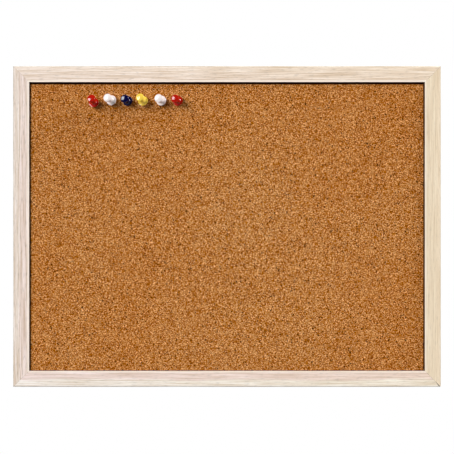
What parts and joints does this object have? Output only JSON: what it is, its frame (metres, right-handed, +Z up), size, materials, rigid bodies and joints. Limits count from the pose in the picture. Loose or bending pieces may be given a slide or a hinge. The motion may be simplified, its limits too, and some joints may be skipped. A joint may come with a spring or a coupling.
{
  "type": "cork pin board",
  "caption": "Wall-hung cork notice board in a mitred pine frame, with coloured push pins that pull out of the cork and wire rings on the back to hang it by.",
  "frame": {"origin": "middle of the top rail's back face, where the board lies against the wall", "axes": "+X to the right seen from the front, +Y out of the back towards the wall, +Z up; the cork faces -Y"},
  "size_m": [0.4, 0.0294, 0.3],
  "materials": {
    "pine_warm": "matte",
    "pine_pale": "matte",
    "cork": "matte",
    "fibreboard": "matte",
    "hardboard": "satin",
    "zinc_steel": "satin",
    "needle_steel": "polished",
    "red_plastic": "gloss",
    "white_plastic": "gloss",
    "navy_plastic": "gloss",
    "yellow_plastic": "gloss"
  },
  "bodies": {
    "board": {"top_rail": "pine_warm", "right_stile": "pine_warm", "bottom_rail": "pine_pale", "left_stile": "pine_pale", "cork_sheet": "cork", "fibre_core": "fibreboard", "hardboard_back": "hardboard", "staple_top_left_outer": "zinc_steel", "staple_top_left_inner": "zinc_steel", "staple_bottom_left_outer": "zinc_steel", "staple_bottom_left_inner": "zinc_steel", "staple_top_right_outer": "zinc_steel", "staple_top_right_inner": "zinc_steel", "staple_bottom_right_outer": "zinc_steel", "staple_bottom_right_inner": "zinc_steel", "left_hanger_strap": "zinc_steel", "left_hanger_screw": "zinc_steel", "right_hanger_strap": "zinc_steel", "right_hanger_screw": "zinc_steel"},
    "left_ring": {"left_hanger_ring": "zinc_steel"},
    "right_ring": {"right_hanger_ring": "zinc_steel"},
    "pin_1": {"pin_1_handle": "red_plastic", "pin_1_needle": "needle_steel"},
    "pin_2": {"pin_2_handle": "white_plastic", "pin_2_needle": "needle_steel"},
    "pin_3": {"pin_3_handle": "navy_plastic", "pin_3_needle": "needle_steel"},
    "pin_4": {"pin_4_handle": "yellow_plastic", "pin_4_needle": "needle_steel"},
    "pin_5": {"pin_5_handle": "white_plastic", "pin_5_needle": "needle_steel"},
    "pin_6": {"pin_6_handle": "red_plastic", "pin_6_needle": "needle_steel"}
  },
  "joints": [
    {"name": "left_ring_swing", "type": "hinge", "parent": "board", "child": "left_ring", "pos_m": [-0.1925, 0.00195, -0.0525], "axis": [1, 0, 0], "range_deg": [0, 180]},
    {"name": "right_ring_swing", "type": "hinge", "parent": "board", "child": "right_ring", "pos_m": [0.1925, 0.00195, -0.0525], "axis": [1, 0, 0], "range_deg": [0, 180]},
    {"name": "pin_1_pull", "type": "slide", "parent": "board", "child": "pin_1", "axis": [-0.116, -0.9446, 0.3069], "range_m": [0, 0.016]},
    {"name": "pin_2_pull", "type": "slide", "parent": "board", "child": "pin_2", "axis": [-0.2737, -0.9546, 0.1172], "range_m": [0, 0.016]},
    {"name": "pin_3_pull", "type": "slide", "parent": "board", "child": "pin_3", "axis": [-0.173, -0.9812, 0.0858], "range_m": [0, 0.016]},
    {"name": "pin_4_pull", "type": "slide", "parent": "board", "child": "pin_4", "axis": [-0.2195, -0.9506, 0.2195], "range_m": [0, 0.016]},
    {"name": "pin_5_pull", "type": "slide", "parent": "board", "child": "pin_5", "axis": [-0.2068, -0.973, 0.1023], "range_m": [0, 0.016]},
    {"name": "pin_6_pull", "type": "slide", "parent": "board", "child": "pin_6", "axis": [-0.2072, -0.9746, 0.0853], "range_m": [0, 0.016]}
  ]
}
